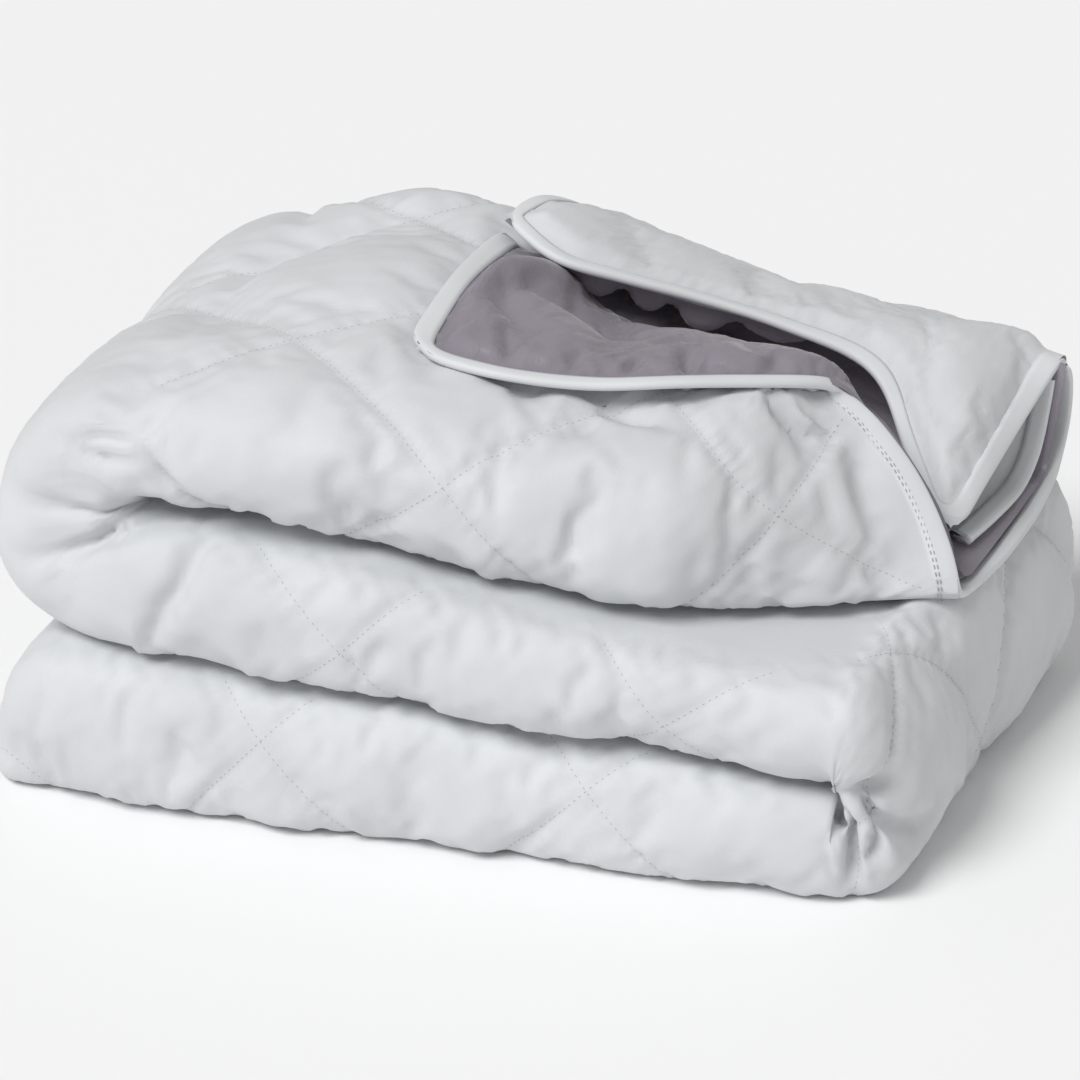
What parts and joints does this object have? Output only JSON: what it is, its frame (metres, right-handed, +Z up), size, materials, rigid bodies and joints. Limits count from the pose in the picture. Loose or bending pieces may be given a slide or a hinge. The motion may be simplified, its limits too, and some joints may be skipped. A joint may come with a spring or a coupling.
{
  "type": "duvet",
  "caption": "Light duvet with stitched diamond quilting, folded lengthwise and zigzagged into a soft stack, one lined corner turned back.",
  "frame": {"origin": "middle of the folded stack, on the surface it lies on", "axes": "+X along the front folds towards the open end, +Y to the back, +Z up"},
  "size_m": [0.612, 0.3998, 0.3113],
  "materials": {
    "outside": "soft satin microfibre",
    "lining": "satin microfibre",
    "binding": "soft satin tape"
  },
  "bodies": {
    "root": {"quilted_cloth": "outside", "lining_corner": "lining", "lining_mouth": "lining", "binding_corner": "binding", "binding_cover": "binding", "binding_end": "binding"}
  },
  "joints": []
}
